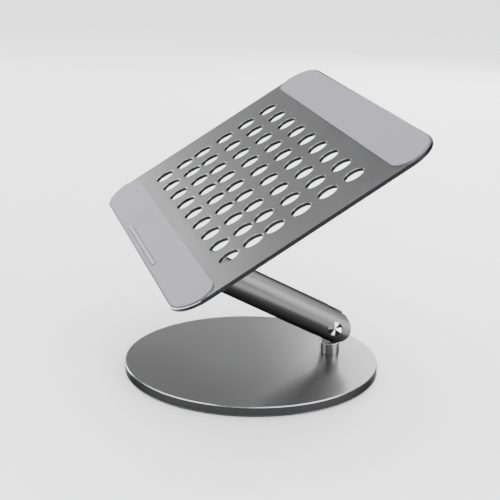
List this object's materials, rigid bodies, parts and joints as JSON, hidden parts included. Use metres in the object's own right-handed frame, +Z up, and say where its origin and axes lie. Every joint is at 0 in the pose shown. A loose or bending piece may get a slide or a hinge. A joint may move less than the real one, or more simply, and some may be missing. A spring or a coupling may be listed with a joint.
{
  "type": "laptop stand",
  "caption": "Laptop stand: a perforated tray with silicone pads, tilting on a friction-hinged round arm over a swivelling round base.",
  "frame": {"origin": "centre of the foot pad's underside, on the desk", "axes": "+Z up; -Y towards the user, the tray's low edge; +Y towards the post; +X across the tray"},
  "size_m": [0.318, 0.203, 0.2171],
  "materials": {
    "foot_rubber": "matte",
    "plated_steel": "zinc plated",
    "bearing_steel": "ground",
    "spring_steel": "oiled",
    "counterweight_steel": "blackened",
    "bronze": "sintered",
    "brass_cage": "stamped",
    "white_glide": "low-friction plastic",
    "satin_base": "bead-blasted, anodised grey, polished chamfer",
    "satin_tray": "bead-blasted, anodised grey, bright hole rims",
    "satin_bracket": "anodised grey",
    "dark_arm": "satin-gloss anodised dark grey",
    "polished_post": "fine turned, satin bright",
    "mirror_cap": "mirror, radially turned",
    "grey_silicone": "matte silicone",
    "grip_silicone": "matte silicone, ribbed"
  },
  "bodies": {
    "foot": {"foot_pad": "foot_rubber", "foot_plate": "plated_steel", "swivel_bush": "bronze", "lower_race": "bearing_steel", "swivel_balls": "bearing_steel", "ball_cage": "brass_cage", "glide_ring": "white_glide"},
    "base": {"base_disc": "satin_base", "upper_race": "bearing_steel", "swivel_screw": "plated_steel", "counterweight": "counterweight_steel", "counterweight_screws": "plated_steel", "post": "polished_post", "post_screw": "plated_steel", "post_bush": "bronze"},
    "arm": {"arm": "dark_arm", "lower_hinge_pin": "plated_steel", "lower_hinge_nut": "plated_steel", "lower_disc_springs": "spring_steel", "lower_friction_washers": "bronze", "lower_pin_caps": "mirror_cap", "upper_hinge_pin": "plated_steel", "upper_hinge_nut": "plated_steel", "upper_disc_springs": "spring_steel", "upper_friction_washers": "bronze", "upper_pin_caps": "mirror_cap"},
    "tray": {"tray_bracket": "satin_bracket", "bracket_bush": "bronze", "bracket_screws": "plated_steel", "tray": "satin_tray", "front_pad": "grey_silicone", "rear_pad": "grey_silicone", "grip_strip": "grip_silicone"}
  },
  "joints": [
    {"name": "base_swivel", "type": "hinge", "parent": "foot", "child": "base", "pos_m": [0, 0, 0.0033], "axis": [0, 0, 1], "continuous": true},
    {"name": "arm_hinge", "type": "hinge", "parent": "base", "child": "arm", "pos_m": [0, 0.066, 0.03302], "axis": [-1, 0, 0], "range_deg": [-25, 42]},
    {"name": "tray_hinge", "type": "hinge", "parent": "arm", "child": "tray", "pos_m": [0, -0.06097, 0.10053], "axis": [1, 0, 0], "range_deg": [-54, 25]}
  ]
}
